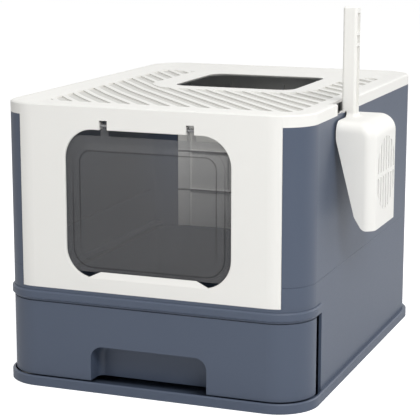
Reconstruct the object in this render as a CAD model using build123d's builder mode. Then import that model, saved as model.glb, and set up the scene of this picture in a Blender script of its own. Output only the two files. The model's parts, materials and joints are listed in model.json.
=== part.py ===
"""Enclosed litter box: pull-out drawer, inward flap door, top exit and hanging scoop."""

import math
import os

from build123d import *

# Walls of the box, in millimetres, with the origin at the middle of the underside
wall_width = 355.0
wall_depth = 470.0
corner_radius = 42.0
wall = 3.0
seam_height = 136.0
lid_line = 305.5
slide_fit = 0.3
seam_fit = 0.2
edge_break = 0.5
overrun = 1.0

# Base frame: foot rim, floor, ledge over the drawer mouth, runners and litter guard
rim_out = 4.5
rim_height = 11.0
rim_bevel = 1.2
rim_lip = 3.0
floor = 2.5
mouth_back = 63.5
ledge_bottom = 98.0
bead_bottom = 99.5
bead_height = 10.0
bead_out = 2.6
bead_bevel = 1.6
bead_reach = 61.0
guard_bottom = 101.0
guard_thickness = 2.0
guard_width = 14.0
runner_offset = 120.0
runner_width = 8.0
runner_front_gap = 40.0
runner_back_gap = 20.0

# Side walls: tongue that plugs into the base
tongue_depth = 10.0
tongue_lap = 12.0
tongue_thickness = 2.0
tongue_length = 360.0

# Front and rear panels
panel_width = 301.8
panel_bottom = 113.7
panel_fit = 0.4
flange_reach = 7.0
flange_root = 10.0
flange_thickness = 2.0
flange_start = 5.0
rear_panel_width = 289.0
rear_panel_bottom = 88.0
rear_rib_depth = 4.0
rear_rib_width = 2.0
rear_rib_spacing = 76.0
rear_line_first = 142.0
rear_line_pitch = 54.0
rear_line_count = 3

# Doorway in the front panel
doorway_width = 192.0
doorway_bottom = 129.0
doorway_top = 292.7
doorway_radius = 33.0
doorway_bevel = 0.6
sill_top = 136.0
sill_base_width = 142.0
sill_top_width = 112.0
sill_edge = 0.5

# Flap door and its hinges
door_width = 202.0
door_bottom = 135.3
door_top = 285.6
door_thickness = 3.0
door_gap = 0.5
door_foot_radius = 22.0
door_head_radius = 8.0
bevel_width = 9.0
bevel_height = 1.5
bevel_margin = 13.0
bevel_foot_margin = 5.0
bevel_head_margin = 7.0
bevel_radius = 22.0
tab_offset = 50.0
tab_width = 8.6
tab_gap = 0.4
hinge_height = 297.0
knuckle_radius = 3.2
pin_radius = 1.5
pin_fit = 0.05
notch_top = 303.0
ear_width = 5.0
ear_half_height = 4.0
ear_depth = 6.5

# Lid: rim, grooved dish that falls to the top exit, and scoop notch
lid_height = 12.5
lid_bevel = 1.2
lid_rim = 5.0
lid_shell = 3.0
dish_margin = 30.0
dish_margin_drop = 3.6
dish_exit_drop = 5.8
locate_height = 7.5
locate_thickness = 2.0
locate_front_gap = 50.0
exit_width = 154.0
exit_depth = 147.0
exit_middle = 98.5
exit_radius = 18.0
exit_lip = 0.8
exit_band = 29.0
groove_width = 12.0
groove_pitch = 18.1
groove_phase = 6.7
groove_depth = 1.6
groove_angle = 130.0
groove_margin = 30.0
groove_front_gap = 60.0
groove_back_gap = 63.0
groove_corner = 15.0
notch_front = 111.6
notch_length = 71.8
notch_depth = 11.0
notch_floor = 1.5
notch_play = 1.0

# Drawer
drawer_bottom = 12.0
drawer_top = 97.0
drawer_wrap = 45.0
tray_side_gap = 8.0
tray_back_gap = 13.0
tray_top = 93.0
tray_wall = 2.5
tray_radius = 39.0
pocket_width = 137.0
pocket_top = 51.6
pocket_depth = 24.0
pocket_radius = 14.0
pocket_hollow = 7.0

# Scoop, hung by the step of its handle in the lid's notch
scoop_wall = 2.2
scoop_width = 98.0
scoop_depth = 43.7
scoop_clearance = 2.3
scoop_tip = 183.0
scoop_head_top = 301.0
scoop_rim_bend = 281.0
scoop_tip_flat = 13.0
scoop_tip_run = 22.0
scoop_tip_rise = 14.5
scoop_head_radius = 18.0
scoop_tip_radius = 8.0
scoop_knee_radius = 12.0
scoop_bend_radius = 30.0
scoop_side_radius = 12.0
slot_count = 7
slot_pitch = 10.7
slot_width = 4.6
slot_field_half_width = 39.0
slot_field_half_height = 40.5
slot_field_middle = 241.0
slot_bar = 4.4
handle_width = 17.0
handle_thickness = 15.7
handle_top = 421.0
handle_inset = 3.7
handle_round = 3.0
handle_bevel = 1.5
neck_radius = 5.0
channel_depth = 9.0
channel_wall = 3.0
channel_end = 6.0
channel_cuts = (0.0, 68.0, 80.0, 104.0)

# Derived places
half_width = wall_width / 2
half_depth = wall_depth / 2
core_width = wall_width - 2 * wall
core_depth = wall_depth - 2 * wall
core_radius = corner_radius - wall
slot_width_panel = panel_width + 2 * panel_fit
fit_inset = wall + slide_fit
fit_width = wall_width - 2 * fit_inset
fit_depth = wall_depth - 2 * fit_inset
fit_radius = corner_radius - fit_inset
lap_inset = wall - slide_fit
lap_width = wall_width - 2 * lap_inset
lap_depth = wall_depth - 2 * lap_inset
lap_radius = corner_radius - lap_inset
flange_inset = fit_inset + flange_thickness
flange_inner_width = wall_width - 2 * flange_inset
flange_inner_depth = wall_depth - 2 * flange_inset
flange_inner_radius = corner_radius - flange_inset
flange_span = panel_width + 2 * flange_reach
flange_gap = panel_width - 2 * flange_root
rear_slot_width = rear_panel_width + 2 * panel_fit
rear_flange_span = rear_panel_width + 2 * flange_reach
rear_flange_gap = rear_panel_width - 2 * flange_root
lid_top = lid_line + lid_height
panel_top = lid_top - lid_bevel
locate_bottom = lid_line - locate_height
flange_top = locate_bottom - flange_start
cavity_width = fit_width - 2 * locate_thickness
cavity_depth = fit_depth - 2 * locate_thickness
cavity_radius = fit_radius - locate_thickness
exit_level = lid_top - dish_exit_drop
door_front = half_depth - wall - door_gap
hinge_y = door_thickness / 2 - door_front

# Bead along the ledge, carried round both front corners
with BuildPart() as ledge_bead:
    with BuildSketch(Plane.XY.offset(bead_bottom)):
        RectangleRounded(wall_width + 2 * bead_out, wall_depth + 2 * bead_out, corner_radius + bead_out)
        with Locations((0, bead_reach - half_depth)):
            Rectangle(2 * wall_width, wall_depth, align=(Align.CENTER, Align.MAX), mode=Mode.INTERSECT)
    extrude(amount=bead_height)
    chamfer(ledge_bead.faces().filter_by(Axis.Z).edges(), length=bead_bevel)

# Base frame: one moulding that carries the drawer and the walls
with BuildPart() as base_frame:
    with BuildSketch():
        RectangleRounded(wall_width + 2 * rim_out, wall_depth + 2 * rim_out, corner_radius + rim_out)
    extrude(amount=rim_height)
    chamfer(base_frame.faces().sort_by(Axis.Z)[-1].edges(), length=rim_bevel)
    with BuildSketch():
        RectangleRounded(wall_width, wall_depth, corner_radius)
    extrude(amount=seam_height)
    chamfer(base_frame.faces().sort_by(Axis.Z)[-1].edges(), length=edge_break)
    add(ledge_bead.part)
    with BuildSketch(Plane.XY.offset(floor)):
        RectangleRounded(core_width, core_depth, core_radius)
    extrude(amount=seam_height - floor + overrun, mode=Mode.SUBTRACT)
    # Mouth that the drawer front fills, open round both corners
    with BuildSketch(Plane.XY.offset(rim_height)):
        with Locations((0, mouth_back - half_depth)):
            Rectangle(wall_width + 2 * overrun, half_depth, align=(Align.CENTER, Align.MAX))
    extrude(amount=ledge_bottom - rim_height, mode=Mode.SUBTRACT)
    # Rim under the mouth, thinned to a lip
    with BuildSketch(Plane.XY.offset(floor)):
        RectangleRounded(
            wall_width + 2 * (rim_out - rim_lip),
            wall_depth + 2 * (rim_out - rim_lip),
            corner_radius + rim_out - rim_lip,
        )
        with Locations((0, mouth_back - half_depth)):
            Rectangle(2 * wall_width, half_depth, align=(Align.CENTER, Align.MAX), mode=Mode.INTERSECT)
    extrude(amount=rim_height - floor, mode=Mode.SUBTRACT)
    # Seats of the front and rear panels between the corner walls
    with BuildSketch(Plane.XY.offset(panel_bottom)):
        with Locations((0, corner_radius - half_depth)):
            Rectangle(slot_width_panel, 2 * corner_radius, align=(Align.CENTER, Align.MAX))
    extrude(amount=seam_height - panel_bottom + overrun, mode=Mode.SUBTRACT)
    with BuildSketch(Plane.XY.offset(rear_panel_bottom)):
        with Locations((0, half_depth - corner_radius)):
            Rectangle(rear_slot_width, 2 * corner_radius, align=(Align.CENTER, Align.MIN))
    extrude(amount=seam_height - rear_panel_bottom + overrun, mode=Mode.SUBTRACT)
    # Guard flange that keeps litter off the gap beside the tray
    with BuildSketch(Plane.XY.offset(guard_bottom)):
        RectangleRounded(wall_width - wall, wall_depth - wall, corner_radius - wall / 2)
        RectangleRounded(
            core_width - 2 * guard_width,
            core_depth - 2 * guard_width,
            core_radius - guard_width,
            mode=Mode.SUBTRACT,
        )
        with Locations((0, half_depth - corner_radius)):
            Rectangle(2 * wall_width, 2 * wall_depth, align=(Align.CENTER, Align.MAX), mode=Mode.INTERSECT)
    extrude(amount=guard_thickness)
    # Runners under the tray
    runner_front = runner_front_gap - half_depth
    runner_length = wall_depth - runner_front_gap - runner_back_gap
    with BuildSketch(Plane.XY.offset(floor)):
        with Locations((-runner_offset, runner_front), (runner_offset, runner_front)):
            Rectangle(runner_width, runner_length, align=(Align.CENTER, Align.MIN))
    extrude(amount=drawer_bottom - floor)

# Side walls: C-shaped shells between the front and rear panels
with BuildPart() as right_side_wall:
    with BuildSketch(Plane.XY.offset(seam_height)):
        RectangleRounded(wall_width, wall_depth, corner_radius)
    extrude(amount=lid_line - seam_height)
    chamfer(right_side_wall.faces().filter_by(Axis.Z).edges(), length=edge_break)
    with BuildSketch(Plane.XY.offset(seam_height)):
        RectangleRounded(core_width, core_depth, core_radius)
        with Locations((slot_width_panel / 2, 0)):
            Rectangle(2 * wall_width, wall_depth, align=(Align.MAX, Align.MAX))
        with Locations((rear_slot_width / 2, 0)):
            Rectangle(2 * wall_width, wall_depth, align=(Align.MAX, Align.MIN))
    extrude(amount=lid_line - seam_height, mode=Mode.SUBTRACT)
    # Tongue inside the base wall, with the lap that joins it to the shell
    with BuildSketch(Plane.XY.offset(seam_height - tongue_depth)):
        with Locations((half_width - wall - seam_fit, 0)):
            Rectangle(tongue_thickness, tongue_length, align=(Align.MAX, Align.CENTER))
    extrude(amount=tongue_depth + tongue_lap)
    with BuildSketch(Plane.XY.offset(seam_height)):
        with Locations((half_width - wall / 2, 0)):
            Rectangle(wall / 2 + tongue_thickness + seam_fit, tongue_length, align=(Align.MAX, Align.CENTER))
    extrude(amount=tongue_lap)

with BuildPart() as left_side_wall:
    add(right_side_wall.part)
    mirror(about=Plane.YZ, mode=Mode.REPLACE)

# Rear panel, with its ribs on the inside
with BuildPart() as rear_panel:
    with BuildSketch(Plane.XY.offset(rear_panel_bottom)):
        RectangleRounded(wall_width, wall_depth, corner_radius)
        RectangleRounded(core_width, core_depth, core_radius, mode=Mode.SUBTRACT)
        Rectangle(rear_panel_width, wall_depth, align=(Align.CENTER, Align.MIN), mode=Mode.INTERSECT)
    extrude(amount=lid_line - rear_panel_bottom)
    with BuildSketch(Plane.XY.offset(rear_panel_bottom)):
        RectangleRounded(lap_width, lap_depth, lap_radius)
        RectangleRounded(flange_inner_width, flange_inner_depth, flange_inner_radius, mode=Mode.SUBTRACT)
        Rectangle(rear_panel_width, wall_depth, align=(Align.CENTER, Align.MIN), mode=Mode.INTERSECT)
        Rectangle(rear_flange_gap, 2 * wall_depth, mode=Mode.SUBTRACT)
    extrude(amount=flange_top - rear_panel_bottom)
    with BuildSketch(Plane.XY.offset(rear_panel_bottom)):
        RectangleRounded(fit_width, fit_depth, fit_radius)
        RectangleRounded(flange_inner_width, flange_inner_depth, flange_inner_radius, mode=Mode.SUBTRACT)
        Rectangle(rear_flange_span, wall_depth, align=(Align.CENTER, Align.MIN), mode=Mode.INTERSECT)
        Rectangle(rear_flange_gap, 2 * wall_depth, mode=Mode.SUBTRACT)
    extrude(amount=flange_top - rear_panel_bottom)
    with BuildSketch(Plane.XY.offset(rear_panel_bottom)):
        with Locations((0, half_depth - wall / 2)):
            with GridLocations(rear_rib_spacing, 0, 3, 1):
                Rectangle(rear_rib_width, wall / 2 + rear_rib_depth, align=(Align.CENTER, Align.MAX))
    extrude(amount=flange_top - rear_panel_bottom)
    for line in range(rear_line_count):
        with BuildSketch(Plane.XY.offset(rear_line_first + line * rear_line_pitch)):
            with Locations((0, half_depth - wall / 2)):
                Rectangle(rear_flange_gap, wall / 2 + rear_rib_depth, align=(Align.CENTER, Align.MAX))
        extrude(amount=rear_rib_width)

# Sloped sill of the doorway, cut to slanted ends
with BuildPart() as sill:
    with BuildSketch(Plane.YZ):
        with BuildLine():
            Polyline(
                (-half_depth, doorway_bottom - wall),
                (wall - half_depth, doorway_bottom - wall),
                (wall - half_depth, sill_top),
                (wall - half_depth - sill_edge, sill_top),
                (-half_depth, doorway_bottom),
                close=True,
            )
        make_face()
    extrude(amount=sill_base_width, both=True)
    with BuildSketch(Plane.XZ.offset(half_depth)):
        with BuildLine():
            Polyline(
                (-sill_base_width / 2, doorway_bottom - wall),
                (sill_base_width / 2, doorway_bottom - wall),
                (sill_base_width / 2, doorway_bottom),
                (sill_top_width / 2, sill_top),
                (-sill_top_width / 2, sill_top),
                (-sill_base_width / 2, doorway_bottom),
                close=True,
            )
        make_face()
    extrude(amount=corner_radius, both=True, mode=Mode.INTERSECT)

# Front panel with the doorway, hinge notches and hinge ears
ear_middle = tab_width / 2 + tab_gap + ear_width / 2
pin_length = tab_width + 2 * tab_gap + 2 * ear_width
ear_places = [
    (side * tab_offset + hand * ear_middle, hinge_height) for side in (-1, 1) for hand in (-1, 1)
]
with BuildPart() as front_panel:
    with BuildSketch(Plane.XY.offset(panel_bottom)):
        RectangleRounded(wall_width, wall_depth, corner_radius)
        RectangleRounded(core_width, core_depth, core_radius, mode=Mode.SUBTRACT)
        Rectangle(panel_width, wall_depth, align=(Align.CENTER, Align.MAX), mode=Mode.INTERSECT)
    extrude(amount=panel_top - panel_bottom)
    with BuildSketch(Plane.XY.offset(panel_bottom + flange_start)):
        RectangleRounded(lap_width, lap_depth, lap_radius)
        RectangleRounded(flange_inner_width, flange_inner_depth, flange_inner_radius, mode=Mode.SUBTRACT)
        Rectangle(panel_width, wall_depth, align=(Align.CENTER, Align.MAX), mode=Mode.INTERSECT)
        Rectangle(flange_gap, 2 * wall_depth, mode=Mode.SUBTRACT)
    extrude(amount=flange_top - panel_bottom - flange_start)
    with BuildSketch(Plane.XY.offset(panel_bottom + flange_start)):
        RectangleRounded(fit_width, fit_depth, fit_radius)
        RectangleRounded(flange_inner_width, flange_inner_depth, flange_inner_radius, mode=Mode.SUBTRACT)
        Rectangle(flange_span, wall_depth, align=(Align.CENTER, Align.MAX), mode=Mode.INTERSECT)
        Rectangle(flange_gap, 2 * wall_depth, mode=Mode.SUBTRACT)
    extrude(amount=flange_top - panel_bottom - flange_start)
    with BuildSketch(Plane.XZ.offset(half_depth)):
        with Locations((0, (doorway_bottom + doorway_top) / 2)):
            RectangleRounded(doorway_width, doorway_top - doorway_bottom, doorway_radius)
    extrude(amount=wall + overrun, both=True, mode=Mode.SUBTRACT)
    chamfer(front_panel.faces().sort_by(Axis.Y)[0].inner_wires()[0].edges(), length=doorway_bevel)
    add(sill.part)
    with BuildSketch(Plane.XZ.offset(half_depth)):
        with Locations((-tab_offset, notch_top), (tab_offset, notch_top)):
            Rectangle(
                tab_width + 2 * tab_gap, notch_top - doorway_top + wall, align=(Align.CENTER, Align.MAX)
            )
    extrude(amount=wall + overrun, both=True, mode=Mode.SUBTRACT)
    with BuildSketch(Plane.XZ.offset(half_depth - wall / 2)):
        with Locations(*ear_places):
            Rectangle(ear_width, 2 * ear_half_height)
    extrude(amount=-(ear_depth + wall / 2))
    with BuildSketch(Plane.YZ):
        with Locations((hinge_y, hinge_height)):
            Circle(pin_radius)
    extrude(amount=tab_offset + pin_length / 2 + overrun, both=True, mode=Mode.SUBTRACT)

# Hinge pins through the ears and the knuckles of the door
with BuildPart() as left_hinge_pin:
    with BuildSketch(Plane.YZ.offset(-tab_offset)):
        with Locations((hinge_y, hinge_height)):
            Circle(pin_radius)
    extrude(amount=pin_length / 2, both=True)

with BuildPart() as right_hinge_pin:
    add(left_hinge_pin.part)
    mirror(about=Plane.YZ, mode=Mode.REPLACE)

# Flap door: plate with a bevelled middle, hung on two tabs
bevel_bottom = door_bottom + bevel_foot_margin
bevel_top = door_top - bevel_head_margin
bevel_span = door_width - 2 * bevel_margin
bevel_middle = (bevel_bottom + bevel_top) / 2
with BuildPart() as flap_door:
    with BuildSketch(Plane.XZ.offset(door_front)) as door_outline:
        with Locations((0, (door_bottom + door_top) / 2)):
            Rectangle(door_width, door_top - door_bottom)
        fillet(door_outline.vertices().group_by(Axis.Y)[0], radius=door_foot_radius)
        fillet(door_outline.vertices().group_by(Axis.Y)[-1], radius=door_head_radius)
    extrude(amount=-door_thickness)
    with BuildSketch(Plane.XZ.offset(door_front)):
        with Locations((0, bevel_middle)):
            RectangleRounded(bevel_span, bevel_top - bevel_bottom, bevel_radius)
    with BuildSketch(Plane.XZ.offset(door_front + bevel_height)):
        with Locations((0, bevel_middle)):
            RectangleRounded(
                bevel_span - 2 * bevel_width,
                bevel_top - bevel_bottom - 2 * bevel_width,
                bevel_radius - bevel_width,
            )
    loft()
    with BuildSketch(Plane.XZ.offset(door_front)):
        with Locations((-tab_offset, hinge_height), (tab_offset, hinge_height)):
            Rectangle(tab_width, hinge_height - door_top + door_thickness, align=(Align.CENTER, Align.MAX))
    extrude(amount=-door_thickness)
    for tab_x in (-tab_offset, tab_offset):
        with BuildSketch(Plane.YZ.offset(tab_x)):
            with Locations((hinge_y, hinge_height)):
                Circle(knuckle_radius)
        extrude(amount=tab_width / 2, both=True)
    with BuildSketch(Plane.YZ):
        with Locations((hinge_y, hinge_height)):
            Circle(pin_radius + pin_fit)
    extrude(amount=half_width, both=True, mode=Mode.SUBTRACT)

# Gentle fall from the margin of the dish to the exit, carried on outwards to the lid's top
dish_reach_share = dish_exit_drop / (dish_exit_drop - dish_margin_drop)
dish_foot_width = exit_width - 2 * overrun
dish_foot_depth = exit_depth - 2 * overrun
dish_fall_width = dish_foot_width + dish_reach_share * (wall_width - 2 * dish_margin - dish_foot_width)
dish_fall_depth = dish_foot_depth + dish_reach_share * (wall_depth - 2 * dish_margin - dish_foot_depth)
dish_fall_middle = exit_middle * (1 - dish_reach_share)
with BuildPart() as dish_fall:
    with BuildSketch(Plane.XZ):
        with BuildLine():
            Polyline(
                (-dish_foot_width / 2, exit_level),
                (dish_foot_width / 2, exit_level),
                (dish_fall_width / 2, lid_top),
                (-dish_fall_width / 2, lid_top),
                close=True,
            )
        make_face()
    extrude(amount=wall_depth, both=True)
    with BuildSketch(Plane.YZ):
        with BuildLine():
            Polyline(
                (exit_middle - dish_foot_depth / 2, exit_level),
                (exit_middle + dish_foot_depth / 2, exit_level),
                (dish_fall_middle + dish_fall_depth / 2, lid_top),
                (dish_fall_middle - dish_fall_depth / 2, lid_top),
                close=True,
            )
        make_face()
    extrude(amount=wall_width, both=True, mode=Mode.INTERSECT)

# Dish of the lid: a steeper slope inside the rim, then the gentle fall
dish_slope_margin = corner_radius - overrun
dish_slope_drop = dish_margin_drop * (dish_slope_margin - lid_rim) / (dish_margin - lid_rim)
with BuildPart() as lid_dish:
    with BuildSketch(Plane.XY.offset(lid_top - dish_slope_drop)):
        RectangleRounded(wall_width - 2 * lid_rim, wall_depth - 2 * lid_rim, corner_radius - lid_rim)
    extrude(amount=dish_slope_drop + overrun)
    dish_foot = lid_dish.faces().sort_by(Axis.Z)[0]
    chamfer(
        dish_foot.edges(), length=dish_slope_margin - lid_rim, length2=dish_slope_drop, reference=dish_foot
    )
    with BuildSketch(Plane.XY.offset(lid_top - dish_slope_drop)):
        RectangleRounded(wall_width - 2 * dish_slope_margin, wall_depth - 2 * dish_slope_margin, overrun)
    extrude(amount=-lid_height)
    add(dish_fall.part, mode=Mode.INTERSECT)

# Hollow under the dish
with BuildPart() as lid_cavity:
    with BuildSketch(Plane.XY.offset(lid_line)):
        RectangleRounded(cavity_width, cavity_depth, cavity_radius)
    extrude(amount=lid_height - lid_shell)
    add(lid_dish.part.moved(Location((0, 0, -lid_shell))), mode=Mode.SUBTRACT)

# Blind slanting grooves that shed litter from the paws, sunk evenly into the dish
groove_turn = math.radians(groove_angle)
groove_reach = math.hypot(half_width, half_depth)
groove_half_count = int(groove_reach / groove_pitch)
groove_steps = range(-groove_half_count, groove_half_count + 1)
groove_shifts = [groove_phase + groove_pitch * step for step in groove_steps]
groove_places = [(-math.sin(groove_turn) * shift, math.cos(groove_turn) * shift) for shift in groove_shifts]
with BuildPart() as lid_grooves:
    with BuildSketch(Plane.XY.offset(exit_level - groove_depth)):
        with Locations(*groove_places):
            Rectangle(2 * groove_reach, groove_width, rotation=groove_angle)
        with Locations((0, (groove_front_gap - groove_back_gap) / 2)):
            RectangleRounded(
                wall_width - 2 * groove_margin,
                wall_depth - groove_front_gap - groove_back_gap,
                groove_corner,
                mode=Mode.INTERSECT,
            )
        with Locations((0, exit_middle)):
            RectangleRounded(
                exit_width + 2 * exit_band,
                exit_depth + 2 * exit_band,
                exit_radius + exit_band,
                mode=Mode.SUBTRACT,
            )
    extrude(amount=dish_exit_drop)
    add(lid_dish.part.moved(Location((0, 0, -groove_depth))), mode=Mode.INTERSECT)

# Lid: rim, grooved dish, exit, and the notch for the scoop
with BuildPart() as lid:
    with BuildSketch(Plane.XY.offset(lid_line)):
        RectangleRounded(wall_width, wall_depth, corner_radius)
    extrude(amount=lid_height)
    chamfer(lid.faces().sort_by(Axis.Z)[-1].edges(), length=lid_bevel)
    add(lid_dish.part, mode=Mode.SUBTRACT)
    add(lid_cavity.part, mode=Mode.SUBTRACT)
    # Locating skirt inside the side walls and the rear panel
    with BuildSketch(Plane.XY.offset(locate_bottom)):
        RectangleRounded(fit_width, fit_depth, fit_radius)
        RectangleRounded(cavity_width, cavity_depth, cavity_radius, mode=Mode.SUBTRACT)
        with Locations((0, locate_front_gap - half_depth)):
            Rectangle(2 * wall_width, 2 * wall_depth, align=(Align.CENTER, Align.MIN), mode=Mode.INTERSECT)
    extrude(amount=locate_height)
    # Seat of the front panel's top edge
    with BuildSketch(Plane.XY.offset(lid_line)):
        RectangleRounded(wall_width + 2 * overrun, wall_depth + 2 * overrun, corner_radius + overrun)
        RectangleRounded(fit_width, fit_depth, fit_radius, mode=Mode.SUBTRACT)
        Rectangle(panel_width, wall_depth, align=(Align.CENTER, Align.MAX), mode=Mode.INTERSECT)
    extrude(amount=panel_top - lid_line, mode=Mode.SUBTRACT)
    # Top exit, thinned from below to a lip
    with BuildSketch(Plane.XY.offset(exit_level - lid_shell - overrun)):
        with Locations((0, exit_middle)):
            RectangleRounded(exit_width, exit_depth, exit_radius)
    extrude(amount=lid_shell + dish_exit_drop, mode=Mode.SUBTRACT)
    with BuildSketch(Plane.XY.offset(exit_level - exit_lip)):
        with Locations((0, exit_middle)):
            RectangleRounded(exit_width, exit_depth, exit_radius)
    with BuildSketch(Plane.XY.offset(exit_level - exit_lip - lid_shell)):
        with Locations((0, exit_middle)):
            RectangleRounded(exit_width + 2 * lid_shell, exit_depth + 2 * lid_shell, exit_radius + lid_shell)
    loft(mode=Mode.SUBTRACT)
    add(lid_grooves.part, mode=Mode.SUBTRACT)
    # Notch in the right rim, with a floor that the scoop's handle rests on
    with BuildSketch(Plane.XY.offset(lid_line + notch_floor)):
        with Locations((half_width - notch_depth, notch_front - half_depth)):
            Rectangle(notch_depth + overrun, notch_length, align=(Align.MIN, Align.MIN))
    extrude(amount=lid_height, mode=Mode.SUBTRACT)
    # Floor of the notch cut away in front of the handle
    with BuildSketch(Plane.XY.offset(lid_line)):
        with Locations((half_width - notch_depth, notch_front - half_depth)):
            Rectangle(
                notch_depth + overrun,
                (notch_length - handle_width) / 2 - notch_play,
                align=(Align.MIN, Align.MIN),
            )
    extrude(amount=lid_height, mode=Mode.SUBTRACT)

# Drawer: tray with a front that wraps round both corners
tray_front = wall / 2 - half_depth
tray_back = half_depth - tray_back_gap
tray_width = wall_width - 2 * tray_side_gap
tray_depth = tray_back - tray_front
tray_middle = (tray_front + tray_back) / 2

# Finger pocket: the room in it and the shell round it, rounded at the back and open below
with BuildPart() as pocket_room:
    with BuildSketch(Plane.XZ.offset(half_depth + overrun)) as room_outline:
        with Locations((0, drawer_bottom - overrun)):
            Rectangle(pocket_width, pocket_top - drawer_bottom + overrun, align=(Align.CENTER, Align.MIN))
        fillet(room_outline.vertices().group_by(Axis.Y)[-1], radius=pocket_radius)
    extrude(amount=-(pocket_depth + overrun))
    fillet(pocket_room.faces().sort_by(Axis.Y)[-1].edges().sort_by(Axis.Z)[1:], radius=pocket_hollow)

with BuildPart() as pocket_shell:
    with BuildSketch(Plane.XZ.offset(-tray_front)) as shell_outline:
        with Locations((0, drawer_bottom)):
            Rectangle(
                pocket_width + 2 * tray_wall,
                pocket_top + tray_wall - drawer_bottom,
                align=(Align.CENTER, Align.MIN),
            )
        fillet(shell_outline.vertices().group_by(Axis.Y)[-1], radius=pocket_radius + tray_wall)
    extrude(amount=-(pocket_depth + tray_wall - wall / 2))
    chamfer(pocket_shell.faces().sort_by(Axis.Y)[-1].edges().sort_by(Axis.Z)[1:], length=pocket_hollow)

with BuildPart() as drawer:
    with BuildSketch(Plane.XY.offset(drawer_bottom)):
        RectangleRounded(wall_width, wall_depth, corner_radius)
        RectangleRounded(core_width, core_depth, core_radius, mode=Mode.SUBTRACT)
        with Locations((0, drawer_wrap - half_depth)):
            Rectangle(2 * wall_width, wall_depth, align=(Align.CENTER, Align.MAX), mode=Mode.INTERSECT)
    extrude(amount=drawer_top - drawer_bottom)
    with BuildSketch(Plane.XY.offset(drawer_bottom)):
        with Locations((0, tray_middle)):
            RectangleRounded(tray_width, tray_depth, tray_radius)
    extrude(amount=tray_top - drawer_bottom)
    with BuildSketch(Plane.XY.offset(drawer_bottom + tray_wall)):
        with Locations((0, tray_middle)):
            RectangleRounded(tray_width - 2 * tray_wall, tray_depth - 2 * tray_wall, tray_radius - tray_wall)
    extrude(amount=tray_top - drawer_bottom, mode=Mode.SUBTRACT)
    add(pocket_shell.part)
    add(pocket_room.part, mode=Mode.SUBTRACT)

# Scoop: bowl that opens towards the wall, cut away to its tip, with a channel handle
scoop_y = notch_front + notch_length / 2 - half_depth
scoop_rim = half_width + scoop_clearance
scoop_back = scoop_rim + scoop_depth
handle_back = half_width - handle_inset
handle_face = handle_back + handle_thickness
handle_foot = lid_line + notch_floor
with BuildPart() as scoop_hollow:
    with BuildSketch(Plane.XZ.offset(-scoop_y)) as hollow_side:
        with Locations((scoop_back - scoop_wall, scoop_head_top - scoop_wall)):
            Rectangle(2 * scoop_depth, 2 * (scoop_head_top - scoop_tip), align=(Align.MAX, Align.MAX))
        fillet(
            hollow_side.vertices().group_by(Axis.X)[-1].sort_by(Axis.Y)[-1],
            radius=scoop_head_radius - scoop_wall,
        )
    extrude(amount=scoop_width / 2 - scoop_wall, both=True)
    fillet(
        scoop_hollow.faces().sort_by(Axis.X)[-1].edges().filter_by(Axis.Z),
        radius=scoop_side_radius - scoop_wall,
    )

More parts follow.
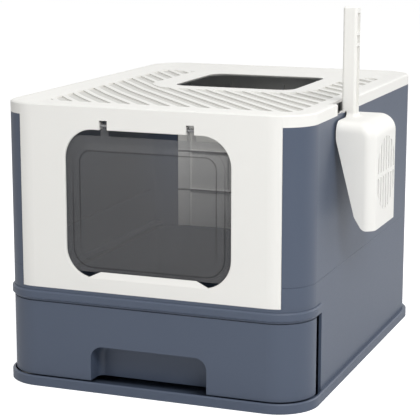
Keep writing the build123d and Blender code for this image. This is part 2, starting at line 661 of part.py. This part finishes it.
with BuildPart() as scoop:
    with BuildSketch(Plane.XZ.offset(-scoop_y)) as scoop_side:
        with BuildLine():
            Polyline(
                (scoop_rim, scoop_head_top),
                (scoop_back, scoop_head_top),
                (scoop_back, scoop_tip),
                (scoop_back - scoop_tip_flat, scoop_tip),
                (scoop_back - scoop_tip_run, scoop_tip + scoop_tip_rise),
                (scoop_rim, scoop_rim_bend),
                close=True,
            )
        make_face()
        fillet(
            scoop_side.vertices().group_by(Axis.X)[-1].sort_by(Axis.Y)[-1],
            radius=scoop_head_radius,
        )
        fillet(scoop_side.vertices().sort_by(Axis.Y)[2], radius=scoop_knee_radius)
        fillet(
            scoop_side.vertices().group_by(Axis.Y)[0].sort_by(Axis.X)[0],
            radius=scoop_tip_radius,
        )
        fillet(
            scoop_side.vertices().group_by(Axis.X)[0].sort_by(Axis.Y)[0],
            radius=scoop_bend_radius,
        )
    extrude(amount=scoop_width / 2, both=True)
    fillet(scoop.faces().sort_by(Axis.X)[-1].edges().filter_by(Axis.Z), radius=scoop_side_radius)
    add(scoop_hollow.part, mode=Mode.SUBTRACT)
    # Sifting slots in an oval field, halved by a cross bar
    with BuildSketch(Plane.YZ.offset(scoop_back)):
        with Locations((scoop_y, slot_field_middle)):
            with GridLocations(slot_pitch, 0, slot_count, 1):
                Rectangle(slot_width, 2 * slot_field_half_height)
        with Locations((scoop_y, slot_field_middle)):
            Ellipse(slot_field_half_width, slot_field_half_height, mode=Mode.INTERSECT)
        with Locations((scoop_y, slot_field_middle)):
            Rectangle(scoop_width, slot_bar, mode=Mode.SUBTRACT)
    extrude(amount=-2 * scoop_wall, mode=Mode.SUBTRACT)
    # Neck outside the wall, rounded into the head, then the handle stepped into the notch
    with BuildSketch(Plane.XY.offset(scoop_head_top - scoop_wall)):
        with Locations((handle_back + handle_thickness / 2, scoop_y)):
            RectangleRounded(handle_thickness, handle_width, handle_round)
        with Locations((scoop_rim, scoop_y)):
            Rectangle(
                handle_thickness, handle_width, align=(Align.MIN, Align.CENTER), mode=Mode.INTERSECT
            )
    extrude(amount=handle_foot - scoop_head_top + scoop_wall)
    neck_foot = scoop.edges().filter_by_position(
        Axis.Z, scoop_head_top - overrun, scoop_head_top + overrun
    )
    neck_foot = neck_foot.filter_by_position(Axis.X, scoop_rim - overrun, handle_face + overrun)
    neck_foot = neck_foot.filter_by_position(
        Axis.Y, scoop_y - handle_width / 2 - overrun, scoop_y + handle_width / 2 + overrun
    )
    fillet(neck_foot, radius=neck_radius)
    with BuildSketch(Plane.XY.offset(handle_foot)):
        with Locations((handle_back + handle_thickness / 2, scoop_y)):
            RectangleRounded(handle_thickness, handle_width, handle_round)
    extrude(amount=handle_top - handle_foot)
    chamfer(scoop.faces().sort_by(Axis.Z)[-1].edges(), length=handle_bevel)
    # Channel in the outer face, crossed by two webs
    with BuildSketch(Plane.YZ.offset(handle_face)):
        for start, end in zip(channel_cuts, channel_cuts[1:]):
            with Locations((scoop_y, handle_foot + channel_end + start)):
                Rectangle(
                    handle_width - 2 * channel_wall,
                    end - start - channel_wall,
                    align=(Align.CENTER, Align.MIN),
                )
    extrude(amount=-channel_depth, mode=Mode.SUBTRACT)

# Write each finished piece
os.makedirs("parts", exist_ok=True)

base_frame.part.label = "base_frame"
export_step(base_frame.part, "parts/base_frame.step")
left_side_wall.part.label = "left_side_wall"
export_step(left_side_wall.part, "parts/left_side_wall.step")
right_side_wall.part.label = "right_side_wall"
export_step(right_side_wall.part, "parts/right_side_wall.step")
rear_panel.part.label = "rear_panel"
export_step(rear_panel.part, "parts/rear_panel.step")
drawer.part.label = "drawer"
export_step(drawer.part, "parts/drawer.step")
lid.part.label = "lid"
export_step(lid.part, "parts/lid.step")
front_panel.part.label = "front_panel"
export_step(front_panel.part, "parts/front_panel.step")
left_hinge_pin.part.label = "left_hinge_pin"
export_step(left_hinge_pin.part, "parts/left_hinge_pin.step")
right_hinge_pin.part.label = "right_hinge_pin"
export_step(right_hinge_pin.part, "parts/right_hinge_pin.step")
flap_door.part.label = "flap_door"
export_step(flap_door.part, "parts/flap_door.step")
scoop.part.label = "scoop"
export_step(scoop.part, "parts/scoop.step")
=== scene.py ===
"""Studio scene of an enclosed litter box: its finishes, light, floor and camera."""

import json
import logging
import math
from dataclasses import dataclass, field
from enum import Enum
from typing import Any, Sequence

import bmesh
import bpy
from mathutils import Matrix, Vector

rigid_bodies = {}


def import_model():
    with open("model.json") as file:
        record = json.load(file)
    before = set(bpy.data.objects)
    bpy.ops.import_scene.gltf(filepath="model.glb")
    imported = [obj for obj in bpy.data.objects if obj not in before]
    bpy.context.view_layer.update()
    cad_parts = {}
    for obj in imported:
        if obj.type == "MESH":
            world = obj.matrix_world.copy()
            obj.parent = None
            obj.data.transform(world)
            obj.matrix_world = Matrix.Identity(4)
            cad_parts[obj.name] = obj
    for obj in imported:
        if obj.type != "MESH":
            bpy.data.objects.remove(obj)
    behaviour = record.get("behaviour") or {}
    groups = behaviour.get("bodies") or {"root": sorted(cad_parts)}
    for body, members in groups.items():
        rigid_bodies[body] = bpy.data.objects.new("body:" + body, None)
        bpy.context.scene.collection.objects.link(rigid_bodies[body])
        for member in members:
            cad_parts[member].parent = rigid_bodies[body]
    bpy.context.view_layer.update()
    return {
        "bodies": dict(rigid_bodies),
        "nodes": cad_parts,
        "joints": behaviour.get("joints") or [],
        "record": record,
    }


LOG = logging.getLogger("litter_box")
MM = 0.001

Tree = bpy.types.NodeTree
Socket = bpy.types.NodeSocket
Point = tuple[float, float, float]
Colour = tuple[float, float, float, float]

# Sockets of a Mix node that mixes two colours
MIX_SHARE, MIX_FIRST, MIX_SECOND, MIXED = 0, 6, 7, 2


class Node(Enum):
    """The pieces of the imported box."""

    BASE_FRAME = "base_frame"
    LEFT_SIDE_WALL = "left_side_wall"
    RIGHT_SIDE_WALL = "right_side_wall"
    REAR_PANEL = "rear_panel"
    DRAWER = "drawer"
    LID = "lid"
    FRONT_PANEL = "front_panel"
    LEFT_HINGE_PIN = "left_hinge_pin"
    RIGHT_HINGE_PIN = "right_hinge_pin"
    FLAP_DOOR = "flap_door"
    SCOOP = "scoop"


class Softbox(Enum):
    """The lamps round the box, each by the side it shines from."""

    ABOVE = "softbox_above"
    KEY = "softbox_key"
    RIGHT = "softbox_right"
    FRONT = "softbox_front"


def linear(code: str) -> Colour:
    """Turn an sRGB hex colour into linear light.

    Args:
        code: Six hex digits.

    Returns:
        Red, green and blue in linear light, and an alpha of one.
    """
    knee, slope, offset, power = 0.04045, 12.92, 0.055, 2.4
    parts = [int(code[i:i + 2], 16) / 255 for i in (0, 2, 4)]
    red, green, blue = (c / slope if c <= knee else ((c + offset) / (1 + offset)) ** power for c in parts)
    return red, green, blue, 1.0


def add_node(tree: Tree, kind: str, settings: dict[str, Any], inputs: dict[Any, Any]) -> bpy.types.Node:
    """Add one node with its settings, its values and its links.

    Args:
        tree: The node tree that gets the node.
        kind: Blender's name for the node type.
        settings: The node's own settings by name.
        inputs: Input sockets by name or number, each with a value or a socket to link from.

    Returns:
        The new node.
    """
    node = tree.nodes.new(kind)
    for name, value in settings.items():
        setattr(node, name, value)
    for key, value in inputs.items():
        if isinstance(value, Socket):
            tree.links.new(value, node.inputs[key])
        else:
            node.inputs[key].default_value = value
    return node


def per_metre(size_mm: float) -> float:
    """Texture scale that repeats once in that many millimetres."""
    return 1 / (size_mm * MM)


def new_material(name: str) -> tuple[bpy.types.Material, Tree]:
    """Start an empty node material.

    Args:
        name: The material's name.

    Returns:
        The material and its node tree, with no nodes in it.
    """
    material = bpy.data.materials.new(name)
    material.use_nodes = True
    material.node_tree.nodes.clear()
    return material, material.node_tree


@dataclass(frozen=True)
class MouldedPolypropylene:
    """Injection moulded polypropylene with a fine spark-eroded grain.

    The eye sees a soft satin: a broad weak highlight, a very fine pebbled
    grain, and faint cloudy flow where the melt met. The real grain is about
    0.2 mm, too fine to show, so it is drawn several times as coarse.
    """

    name: str
    colour: str
    flow_colour: str
    roughness: float = 0.46
    roughness_spread: float = 0.06
    ior: float = 1.49
    grain_mm: float = 1.1
    grain_detail: float = 2.0
    grain_height_mm: float = 0.05
    grain_strength: float = 0.35
    flow_mm: float = 95.0
    flow_detail: float = 3.0

    def build(self) -> bpy.types.Material:
        """Make the material.

        Returns:
            The finished material.
        """
        material, tree = new_material(self.name)
        place = add_node(tree, "ShaderNodeTexCoord", {}, {}).outputs["Object"]
        flow = add_node(tree, "ShaderNodeTexNoise", {}, {
            "Vector": place, "Scale": per_metre(self.flow_mm), "Detail": self.flow_detail})
        tint = add_node(tree, "ShaderNodeMix", {"data_type": "RGBA"}, {
            MIX_SHARE: flow.outputs["Fac"], MIX_FIRST: linear(self.colour),
            MIX_SECOND: linear(self.flow_colour)}).outputs[MIXED]
        tint = self.shade_details(tree, tint)
        grain = add_node(tree, "ShaderNodeTexNoise", {}, {
            "Vector": place, "Scale": per_metre(self.grain_mm), "Detail": self.grain_detail})
        bump = add_node(tree, "ShaderNodeBump", {}, {
            "Strength": self.grain_strength, "Distance": self.grain_height_mm * MM,
            "Height": grain.outputs["Fac"]})
        gloss = add_node(tree, "ShaderNodeMapRange", {}, {
            "Value": grain.outputs["Fac"], "To Min": self.roughness - self.roughness_spread,
            "To Max": self.roughness + self.roughness_spread})
        shader = add_node(tree, "ShaderNodeBsdfPrincipled", {}, {
            "Base Color": tint, "Roughness": gloss.outputs[0], "IOR": self.ior,
            "Normal": bump.outputs[0]})
        add_node(tree, "ShaderNodeOutputMaterial", {}, {"Surface": shader.outputs[0]})
        return material

    def shade_details(self, tree: Tree, tint: Socket) -> Socket:
        """Leave the colour as it is; a finish with marked areas adds them here."""
        return tint


@dataclass(frozen=True)
class RoundedField:
    """A rounded rectangle on a flat side of the box, in millimetres.

    Its half size is zero along the one axis that it is looked at along.
    """

    half_size: Point
    middle: Point
    radius: float

    def reach(self, tree: Tree, place: Socket) -> Socket:
        """Measure how far a point lies outside the core, the field less its radius all round.

        Args:
            tree: The material's node tree.
            place: The point on the surface.

        Returns:
            The distance in metres, which is the radius on the field's outline.
        """
        axes = tuple(1.0 if half else 0.0 for half in self.half_size)
        shift = tuple(-axis * mid * MM for axis, mid in zip(axes, self.middle))
        core = tuple(axis * (half - self.radius) * MM for axis, half in zip(axes, self.half_size))
        flat = add_node(tree, "ShaderNodeVectorMath", {"operation": "MULTIPLY_ADD"}, {
            0: place, 1: axes, 2: shift}).outputs[0]
        folded = add_node(tree, "ShaderNodeVectorMath", {"operation": "ABSOLUTE"}, {0: flat}).outputs[0]
        beyond = add_node(tree, "ShaderNodeVectorMath", {"operation": "SUBTRACT"}, {
            0: folded, 1: core}).outputs[0]
        beyond = add_node(tree, "ShaderNodeVectorMath", {"operation": "MAXIMUM"}, {
            0: beyond, 1: (0, 0, 0)}).outputs[0]
        return add_node(tree, "ShaderNodeVectorMath", {"operation": "LENGTH"}, {0: beyond}).outputs["Value"]

    def inside(self, tree: Tree, place: Socket) -> Socket:
        """Mark the points in the field: one inside it and zero outside it."""
        return add_node(tree, "ShaderNodeMath", {"operation": "LESS_THAN"}, {
            0: self.reach(tree, place), 1: self.radius * MM}).outputs[0]

    def outline(self, tree: Tree, place: Socket, width_mm: float) -> Socket:
        """Mark a line of that width along the field's outline: one on it and zero beside it."""
        return add_node(tree, "ShaderNodeMath", {"operation": "COMPARE"}, {
            0: self.reach(tree, place), 1: self.radius * MM, 2: width_mm * MM / 2}).outputs[0]


@dataclass(frozen=True)
class GroovedPolypropylene(MouldedPolypropylene):
    """The same plastic with painted shade on the level floors of its moulded grooves.

    The painted shade makes the eye see the floors as grey bars between white
    lands.
    """

    # grey of the painted shade on the groove floors
    groove_shade_colour: str = "CFCEC9"
    groove_pitch_mm: float = 18.1
    groove_phase_mm: float = 6.7
    groove_width_mm: float = 12.0
    groove_angle_deg: float = 130.0
    least_upward: float = 0.9
    grooved: RoundedField = RoundedField(
        half_size=(147.5, 173.5, 0.0), middle=(0.0, -1.5, 0.0), radius=15.0)
    smooth: RoundedField = RoundedField(
        half_size=(106.0, 102.5, 0.0), middle=(0.0, 98.5, 0.0), radius=47.0)

    def shade_details(self, tree: Tree, tint: Socket) -> Socket:
        """Paint shade on the level floors of the slanting grooves.

        Args:
            tree: The material's node tree.
            tint: The colour of the lands.

        Returns:
            The colour with painted shade on the groove floors.
        """
        place = add_node(tree, "ShaderNodeTexCoord", {}, {}).outputs["Object"]
        normal = add_node(tree, "ShaderNodeNewGeometry", {}, {}).outputs["True Normal"]
        facing = add_node(tree, "ShaderNodeSeparateXYZ", {}, {0: normal})
        marked = add_node(tree, "ShaderNodeMath", {"operation": "GREATER_THAN"}, {
            0: facing.outputs["Z"], 1: self.least_upward}).outputs[0]
        turn = math.radians(self.groove_angle_deg)
        across = add_node(tree, "ShaderNodeVectorMath", {"operation": "DOT_PRODUCT"}, {
            0: place, 1: (-math.sin(turn), math.cos(turn), 0)}).outputs["Value"]
        across = add_node(tree, "ShaderNodeMath", {"operation": "SUBTRACT"}, {
            0: across, 1: self.groove_phase_mm * MM}).outputs[0]
        from_middle = add_node(tree, "ShaderNodeMath", {"operation": "PINGPONG"}, {
            0: across, 1: self.groove_pitch_mm * MM / 2}).outputs[0]
        bars = add_node(tree, "ShaderNodeMath", {"operation": "LESS_THAN"}, {
            0: from_middle, 1: self.groove_width_mm * MM / 2}).outputs[0]
        band = add_node(tree, "ShaderNodeMath", {"operation": "SUBTRACT"}, {
            0: 1.0, 1: self.smooth.inside(tree, place)}).outputs[0]
        for mask in (bars, band, self.grooved.inside(tree, place)):
            marked = add_node(tree, "ShaderNodeMath", {"operation": "MULTIPLY"}, {
                0: marked, 1: mask}).outputs[0]
        # painted shade: the level groove floors inside the grooved field turn grey
        return add_node(tree, "ShaderNodeMix", {"data_type": "RGBA"}, {
            MIX_SHARE: marked, MIX_FIRST: tint, MIX_SECOND: linear(self.groove_shade_colour)}).outputs[MIXED]


@dataclass(frozen=True)
class LinedPolypropylene(MouldedPolypropylene):
    """The same plastic with thin dark lines of painted shadow along the ribs of its inner face.

    The painted shadow falls under each level rib as a fine grey line along the
    whole panel. The outer face has none.
    """

    # grey of the painted shadow lines under the ribs
    rib_shadow_colour: str = "6A6A66"
    first_line_z_mm: float = 142.0
    line_pitch_mm: float = 54.0
    line_width_mm: float = 2.4
    inner_face_y_mm: float = 233.5

    def shade_details(self, tree: Tree, tint: Socket) -> Socket:
        """Paint the shadow lines at the level of the ribs.

        Args:
            tree: The material's node tree.
            tint: The colour between the lines.

        Returns:
            The colour with the lines in it.
        """
        place = add_node(tree, "ShaderNodeTexCoord", {}, {}).outputs["Object"]
        parts = add_node(tree, "ShaderNodeSeparateXYZ", {}, {0: place})
        height = add_node(tree, "ShaderNodeMath", {"operation": "SUBTRACT"}, {
            0: parts.outputs["Z"], 1: self.first_line_z_mm * MM}).outputs[0]
        from_line = add_node(tree, "ShaderNodeMath", {"operation": "PINGPONG"}, {
            0: height, 1: self.line_pitch_mm * MM / 2}).outputs[0]
        lines = add_node(tree, "ShaderNodeMath", {"operation": "LESS_THAN"}, {
            0: from_line, 1: self.line_width_mm * MM / 2}).outputs[0]
        inner = add_node(tree, "ShaderNodeMath", {"operation": "LESS_THAN"}, {
            0: parts.outputs["Y"], 1: self.inner_face_y_mm * MM}).outputs[0]
        marked = add_node(tree, "ShaderNodeMath", {"operation": "MULTIPLY"}, {0: lines, 1: inner}).outputs[0]
        # painted shadow: a grey line at each rib level on the inner face
        return add_node(tree, "ShaderNodeMix", {"data_type": "RGBA"}, {
            MIX_SHARE: marked, MIX_FIRST: tint, MIX_SECOND: linear(self.rib_shadow_colour)}).outputs[MIXED]


@dataclass(frozen=True)
class SmokedAcrylic:
    """Smoke-grey clear acrylic sheet, pressed while warm.

    The eye sees the dark grey tint of the sheet, what stands behind it dimmed
    to about half, and thin dark lines where the raised middle bends the light
    aside. Light crosses both faces, so the opacity is that of one face.
    """

    name: str = "smoked_acrylic"
    colour: str = "7C7C7E"
    opacity: float = 0.25
    crease_colour: str = "2A2A2C"
    crease_opacity: float = 0.5
    crease_width_mm: float = 1.5
    crease_fade: float = 0.2
    outer_crease: RoundedField = RoundedField(
        half_size=(88.0, 0.0, 69.15), middle=(0.0, 0.0, 209.45), radius=22.0)
    inner_crease: RoundedField = RoundedField(
        half_size=(79.0, 0.0, 60.15), middle=(0.0, 0.0, 209.45), radius=13.0)
    front_y_mm: float = -231.0
    roughness: float = 0.12
    roughness_shares: tuple[float, float] = (0.8, 1.3)
    ior: float = 1.49
    ripple_mm: float = 42.0
    ripple_detail: float = 1.0
    ripple_height_mm: float = 0.05
    ripple_strength: float = 0.2

    def build(self) -> bpy.types.Material:
        """Make the material.

        Returns:
            The finished material.
        """
        material, tree = new_material(self.name)
        place = add_node(tree, "ShaderNodeTexCoord", {}, {}).outputs["Object"]
        ripple = add_node(tree, "ShaderNodeTexNoise", {}, {
            "Vector": place, "Scale": per_metre(self.ripple_mm), "Detail": self.ripple_detail})
        bump = add_node(tree, "ShaderNodeBump", {}, {
            "Strength": self.ripple_strength, "Distance": self.ripple_height_mm * MM,
            "Height": ripple.outputs["Fac"]})
        smoothest, roughest = (self.roughness * share for share in self.roughness_shares)
        gloss = add_node(tree, "ShaderNodeMapRange", {}, {
            "Value": ripple.outputs["Fac"], "To Min": smoothest, "To Max": roughest})
        lines = self.mark_creases(tree, place)
        tint = add_node(tree, "ShaderNodeMix", {"data_type": "RGBA"}, {
            MIX_SHARE: lines, MIX_FIRST: linear(self.colour), MIX_SECOND: linear(self.crease_colour)})
        cover = add_node(tree, "ShaderNodeMapRange", {}, {
            "Value": lines, "To Min": self.opacity, "To Max": self.crease_opacity})
        shader = add_node(tree, "ShaderNodeBsdfPrincipled", {}, {
            "Base Color": tint.outputs[MIXED], "Roughness": gloss.outputs[0], "IOR": self.ior,
            "Alpha": cover.outputs[0], "Normal": bump.outputs[0]})
        add_node(tree, "ShaderNodeOutputMaterial", {}, {"Surface": shader.outputs[0]})
        return material

    def mark_creases(self, tree: Tree, place: Socket) -> Socket:
        """Mark the two edges of the bevel round the raised middle.

        The light falls from above, so the outer edge fades towards the top of
        the sheet and the inner edge towards its foot.

        Args:
            tree: The material's node tree.
            place: The point on the sheet.

        Returns:
            Up to one on the front face's creases and zero elsewhere.
        """
        parts = add_node(tree, "ShaderNodeSeparateXYZ", {}, {0: place})
        middle, half_height = self.outer_crease.middle[2] * MM, self.outer_crease.half_size[2] * MM
        lines = []
        for crease, faint_end in (
                (self.outer_crease, middle + half_height), (self.inner_crease, middle - half_height)):
            strength = add_node(tree, "ShaderNodeMapRange", {}, {
                "Value": parts.outputs["Z"], "From Min": middle, "From Max": faint_end,
                "To Min": 1.0, "To Max": self.crease_fade}).outputs[0]
            lines.append(add_node(tree, "ShaderNodeMath", {"operation": "MULTIPLY"}, {
                0: strength, 1: crease.outline(tree, place, self.crease_width_mm)}).outputs[0])
        outer, inner = lines
        either = add_node(tree, "ShaderNodeMath", {"operation": "MAXIMUM"}, {0: outer, 1: inner}).outputs[0]
        front = add_node(tree, "ShaderNodeMath", {"operation": "LESS_THAN"}, {
            0: parts.outputs["Y"], 1: self.front_y_mm * MM}).outputs[0]
        return add_node(tree, "ShaderNodeMath", {"operation": "MULTIPLY"}, {0: front, 1: either}).outputs[0]


@dataclass(frozen=True)
class DrawnSteelWire:
    """Bright drawn steel wire.

    The eye sees fine lines along the pin that stretch its highlight. The real
    lines are a few hundredths of a millimetre wide, too fine to show, so they
    are drawn about ten times as coarse.
    """

    name: str = "drawn_steel_wire"
    colour: str = "BDBDBF"
    roughness: float = 0.3
    roughness_shares: tuple[float, float] = (0.7, 1.4)
    line_mm: float = 0.4
    line_detail: float = 2.0
    line_stretch: Point = (0.04, 1.0, 1.0)

    def build(self) -> bpy.types.Material:
        """Make the material.

        Returns:
            The finished material.
        """
        material, tree = new_material(self.name)
        place = add_node(tree, "ShaderNodeTexCoord", {}, {}).outputs["Object"]
        drawn = add_node(tree, "ShaderNodeMapping", {}, {"Vector": place, "Scale": self.line_stretch})
        lines = add_node(tree, "ShaderNodeTexNoise", {}, {
            "Vector": drawn.outputs[0], "Scale": per_metre(self.line_mm), "Detail": self.line_detail})
        smoothest, roughest = (self.roughness * share for share in self.roughness_shares)
        gloss = add_node(tree, "ShaderNodeMapRange", {}, {
            "Value": lines.outputs["Fac"], "To Min": smoothest, "To Max": roughest})
        shader = add_node(tree, "ShaderNodeBsdfPrincipled", {}, {
            "Base Color": linear(self.colour), "Metallic": 1.0, "Roughness": gloss.outputs[0]})
        add_node(tree, "ShaderNodeOutputMaterial", {}, {"Surface": shader.outputs[0]})
        return material


Finish = MouldedPolypropylene | SmokedAcrylic | DrawnSteelWire


@dataclass(frozen=True)
class Palette:
    """All the finishes of the box, built once."""

    blue_grey: MouldedPolypropylene = MouldedPolypropylene(
        "moulded_polypropylene_blue_grey", colour="4B5567", flow_colour="485264", roughness=0.4)
    white: MouldedPolypropylene = MouldedPolypropylene(
        "moulded_polypropylene_white", colour="EBEAE6", flow_colour="E8E7E3")
    white_grooved: GroovedPolypropylene = GroovedPolypropylene(
        "moulded_polypropylene_white_grooved", colour="EBEAE6", flow_colour="E8E7E3")
    white_lined: LinedPolypropylene = LinedPolypropylene(
        "moulded_polypropylene_white_lined", colour="EBEAE6", flow_colour="E8E7E3")
    smoke: SmokedAcrylic = SmokedAcrylic()
    steel: DrawnSteelWire = DrawnSteelWire()


class Dresser:
    """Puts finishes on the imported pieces."""

    def __init__(self, frame: dict[str, Any], palette: Palette) -> None:
        """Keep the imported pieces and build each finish.

        Args:
            palette: The finishes to build.
        """
        self.nodes: dict[str, bpy.types.Object] = frame["nodes"]
        self.materials: dict[Finish, bpy.types.Material] = {
            finish: finish.build() for finish in vars(palette).values()}

    def dress(self, node: Node, finish: Finish) -> None:
        """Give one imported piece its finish.

        Args:
            node: The piece.
            finish: One of the palette's finishes.
        """
        piece = self.nodes[node.value]
        piece.data.materials.clear()
        piece.data.materials.append(self.materials[finish])
        LOG.info("%s: %s", node.value, finish.name)


@dataclass
class Box:
    """The base, the two side walls and the rear panel."""

    def dress(self, dresser: Dresser, palette: Palette) -> None:
        """Give the base and walls their blue-grey and the rear panel its white.

        Args:
            dresser: Puts the finishes on.
            palette: The finishes to choose from.
        """
        for node in (Node.BASE_FRAME, Node.LEFT_SIDE_WALL, Node.RIGHT_SIDE_WALL):
            dresser.dress(node, palette.blue_grey)
        dresser.dress(Node.REAR_PANEL, palette.white_lined)


@dataclass
class Drawer:
    """The pull-out tray."""

    def dress(self, dresser: Dresser, palette: Palette) -> None:
        """Give the tray its blue-grey."""
        dresser.dress(Node.DRAWER, palette.blue_grey)


@dataclass
class Cover:
    """The lid with the front panel and the two hinge pins."""

    def dress(self, dresser: Dresser, palette: Palette) -> None:
        """Give the lid and panel their white and the pins their steel.

        Args:
            dresser: Puts the finishes on.
            palette: The finishes to choose from.
        """
        dresser.dress(Node.LID, palette.white_grooved)
        dresser.dress(Node.FRONT_PANEL, palette.white)
        for node in (Node.LEFT_HINGE_PIN, Node.RIGHT_HINGE_PIN):
            dresser.dress(node, palette.steel)


@dataclass
class Flap:
    """The swinging door."""

    def dress(self, dresser: Dresser, palette: Palette) -> None:
        """Give the door its smoke-grey sheet."""
        dresser.dress(Node.FLAP_DOOR, palette.smoke)


@dataclass
class Scoop:
    """The sifting scoop."""

    def dress(self, dresser: Dresser, palette: Palette) -> None:
        """Give the scoop its white."""
        dresser.dress(Node.SCOOP, palette.white)


@dataclass(frozen=True)
class Lamp:
    """A square softbox: its place and width in metres, and its power in watts."""

    place: Point
    width: float
    power: float


@dataclass
class Studio:
    """A white floor, soft light and a camera at the photograph's angle."""

    floor_size: float = 12.0
    floor_cells: int = 4
    floor_drop: float = 0.0006
    floor_colour: str = "F2F2F2"
    floor_lift: float = 0.75
    ambient: float = 0.28
    backdrop: float = 1.0
    backdrop_colour: str = "FFFFFF"
    lamps: dict[Softbox, Lamp] = field(default_factory=lambda: {
        Softbox.ABOVE: Lamp((0.2, 0.0, 2.0), width=1.5, power=11.0),
        Softbox.KEY: Lamp((1.35, -1.45, 1.7), width=0.9, power=35.0),
        Softbox.RIGHT: Lamp((1.6, 1.3, 0.9), width=1.2, power=11.0),
        Softbox.FRONT: Lamp((-1.1, -1.9, 1.1), width=1.2, power=6.0)})
    target: Point = (0.0, 0.0, 0.16)
    camera_place: Point = (0.627893, -1.682651, 0.525760)
    camera_right: Point = (0.93365, 0.35819, 0.00051)
    camera_up: Point = (-0.070867, 0.183326, 0.980494)
    lens: float = 129.19
    sensor: float = 36.0
    nearest: float = 0.05
    farthest: float = 50.0

    def lay_floor(self) -> None:
        """Lay the floor."""
        mesh = bpy.data.meshes.new("floor")
        shape = bmesh.new()
        bmesh.ops.create_grid(
            shape, x_segments=self.floor_cells, y_segments=self.floor_cells, size=self.floor_size / 2)
        shape.to_mesh(mesh)
        shape.free()
        floor = bpy.data.objects.new("floor", mesh)
        floor.location.z = -self.floor_drop
        bpy.context.scene.collection.objects.link(floor)
        mesh.materials.append(self.paint_floor())

    def paint_floor(self) -> bpy.types.Material:
        """Matt white paint that looks paper white to the camera and keeps the shadow.

        Returns:
            The material.
        """
        material, tree = new_material("matt_white_floor_paint")
        rays = add_node(tree, "ShaderNodeLightPath", {}, {})
        seen = add_node(tree, "ShaderNodeMath", {"operation": "MAXIMUM"}, {
            0: rays.outputs["Is Camera Ray"], 1: rays.outputs["Is Transmission Ray"]})
        lift = add_node(tree, "ShaderNodeMath", {"operation": "MULTIPLY"}, {
            0: seen.outputs[0], 1: self.floor_lift})
        paint = add_node(tree, "ShaderNodeBsdfDiffuse", {}, {"Color": linear(self.floor_colour)})
        glow = add_node(tree, "ShaderNodeEmission", {}, {"Strength": lift.outputs[0]})
        both = add_node(tree, "ShaderNodeAddShader", {}, {0: paint.outputs[0], 1: glow.outputs[0]})
        add_node(tree, "ShaderNodeOutputMaterial", {}, {"Surface": both.outputs[0]})
        return material

    def light_world(self) -> None:
        """Surround the box with even light that looks white wherever it is seen."""
        world = bpy.data.worlds.new("white_surround")
        world.use_nodes = True
        tree = world.node_tree
        tree.nodes.clear()
        rays = add_node(tree, "ShaderNodeLightPath", {}, {})
        glossy = add_node(tree, "ShaderNodeMath", {"operation": "MAXIMUM"}, {
            0: rays.outputs["Is Glossy Ray"], 1: rays.outputs["Is Transmission Ray"]})
        seen = add_node(tree, "ShaderNodeMath", {"operation": "MAXIMUM"}, {
            0: rays.outputs["Is Camera Ray"], 1: glossy.outputs[0]})
        colour = linear(self.backdrop_colour)
        even = add_node(tree, "ShaderNodeBackground", {}, {"Color": colour, "Strength": self.ambient})
        white = add_node(tree, "ShaderNodeBackground", {}, {"Color": colour, "Strength": self.backdrop})
        both = add_node(tree, "ShaderNodeMixShader", {}, {
            0: seen.outputs[0], 1: even.outputs[0], 2: white.outputs[0]})
        add_node(tree, "ShaderNodeOutputWorld", {}, {"Surface": both.outputs[0]})
        bpy.context.scene.world = world

    def hang_lamps(self) -> None:
        """Hang the softboxes, each aimed at the middle of the box."""
        for softbox, lamp in self.lamps.items():
            light = bpy.data.lights.new(softbox.value, "AREA")
            light.shape = "SQUARE"
            light.size = lamp.width
            light.energy = lamp.power
            holder = bpy.data.objects.new(softbox.value, light)
            holder.location = lamp.place
            aim = Vector(self.target) - Vector(lamp.place)
            holder.rotation_euler = aim.to_track_quat("-Z", "Y").to_euler()
            bpy.context.scene.collection.objects.link(holder)

    def set_camera(self) -> None:
        """Stand the camera where the photograph was taken from."""
        lens = bpy.data.cameras.new("camera")
        lens.lens = self.lens
        lens.sensor_width = self.sensor
        lens.clip_start = self.nearest
        lens.clip_end = self.farthest
        camera = bpy.data.objects.new("camera", lens)
        right = Vector(self.camera_right).normalized()
        back = right.cross(Vector(self.camera_up)).normalized()
        up = back.cross(right)
        turn = Matrix((right, up, back)).transposed().to_4x4()
        camera.matrix_world = Matrix.Translation(Vector(self.camera_place)) @ turn
        bpy.context.scene.collection.objects.link(camera)
        bpy.context.scene.camera = camera

    def build(self) -> None:
        """Set up the whole studio."""
        bpy.context.scene.view_settings.view_transform = "Standard"
        self.lay_floor()
        self.light_world()
        self.hang_lamps()
        self.set_camera()
        LOG.info("studio: floor, surround, %d lamps, camera", len(self.lamps))


def main() -> None:
    """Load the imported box, dress every piece, and set up the studio."""
    logging.basicConfig(level=logging.INFO, format="%(message)s")
    for leftover in list(bpy.data.objects):
        bpy.data.objects.remove(leftover)
    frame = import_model()
    palette = Palette()
    dresser = Dresser(frame, palette)
    for assembly in (Box(), Drawer(), Cover(), Flap(), Scoop()):
        assembly.dress(dresser, palette)
    Studio().build()


if __name__ == "__main__":
    main()
